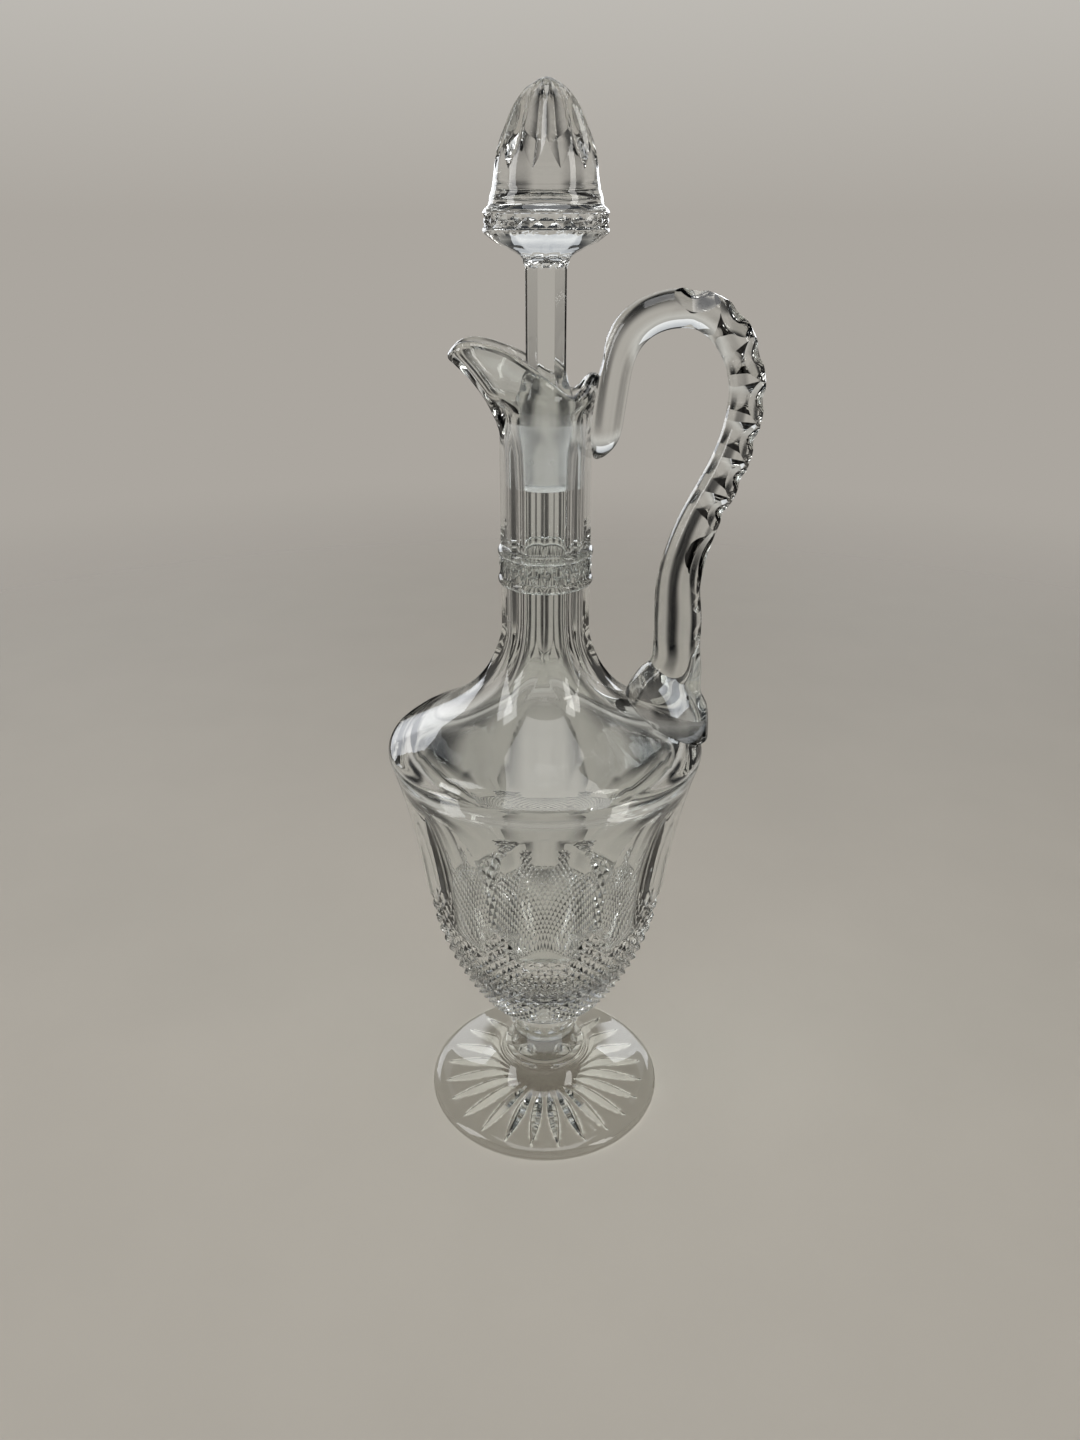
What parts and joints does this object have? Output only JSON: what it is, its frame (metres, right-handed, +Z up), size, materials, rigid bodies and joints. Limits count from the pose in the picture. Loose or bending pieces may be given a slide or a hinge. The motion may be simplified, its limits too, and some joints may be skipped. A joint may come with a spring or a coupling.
{
  "type": "claret decanter",
  "caption": "Footed cut-glass decanter with a pouring lip, a loop handle, a star-cut foot and a lift-out ground stopper.",
  "frame": {"origin": "centre of the foot's underside, on the axis of the bowl, where the decanter rests", "axes": "+Z up the axis of the bowl and stopper, +X towards the handle, -X towards the pouring lip"},
  "size_m": [0.1165, 0.1044, 0.34],
  "materials": {
    "jug_glass": "polished cut lead crystal",
    "stopper_glass": "polished cut lead crystal, ground plug"
  },
  "bodies": {
    "jug": {"foot": "jug_glass", "stem": "jug_glass", "jug_bowl": "jug_glass", "neck_ring": "jug_glass", "handle": "jug_glass"},
    "stopper": {"stopper": "stopper_glass"}
  },
  "joints": [
    {"name": "stopper_lift", "type": "slide", "parent": "jug", "child": "stopper", "axis": [0, 0, 1], "range_m": [0, 0.06]}
  ]
}
